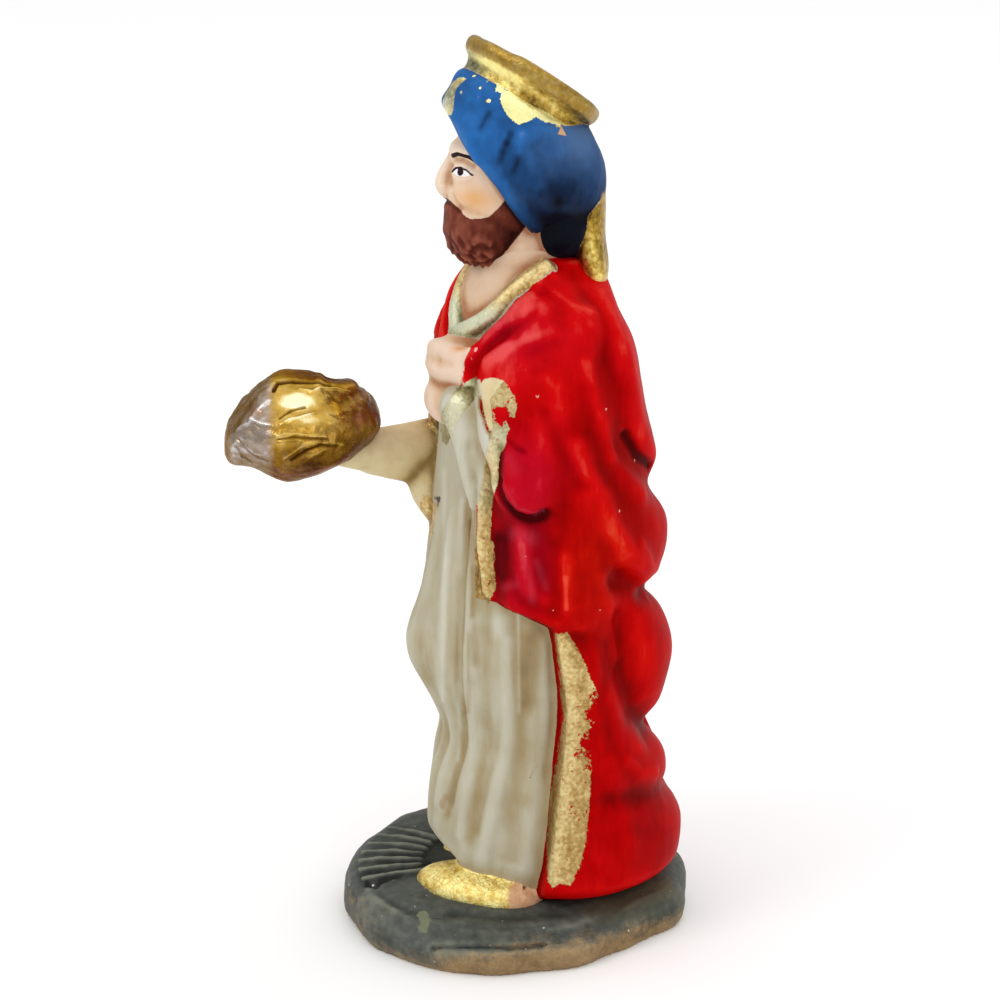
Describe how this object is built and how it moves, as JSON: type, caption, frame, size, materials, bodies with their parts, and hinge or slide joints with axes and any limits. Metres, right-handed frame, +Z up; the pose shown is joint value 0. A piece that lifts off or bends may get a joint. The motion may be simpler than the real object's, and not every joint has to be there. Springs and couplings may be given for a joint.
{
  "type": "nativity wise man figurine",
  "caption": "Painted clay nativity figurine of a standing wise man in a long gown and draped cloak, with a turban, a flared crown and a wrapped gift held out in one hand.",
  "frame": {"origin": "middle of the base's flat underside", "axes": "+Z up along the figure's height; the figure faces -Y and its left side is +X"},
  "size_m": [0.0385, 0.0493, 0.1011],
  "materials": {
    "painted_clay": "hand-painted matt to satin colours over fired clay, with patchy gold leaf and bare clay at the base's lower edge",
    "lacquered_gold": "crumpled surface under glossy bronze-gold lacquer"
  },
  "bodies": {
    "root": {"figure": "painted_clay", "gift": "lacquered_gold"}
  },
  "joints": []
}
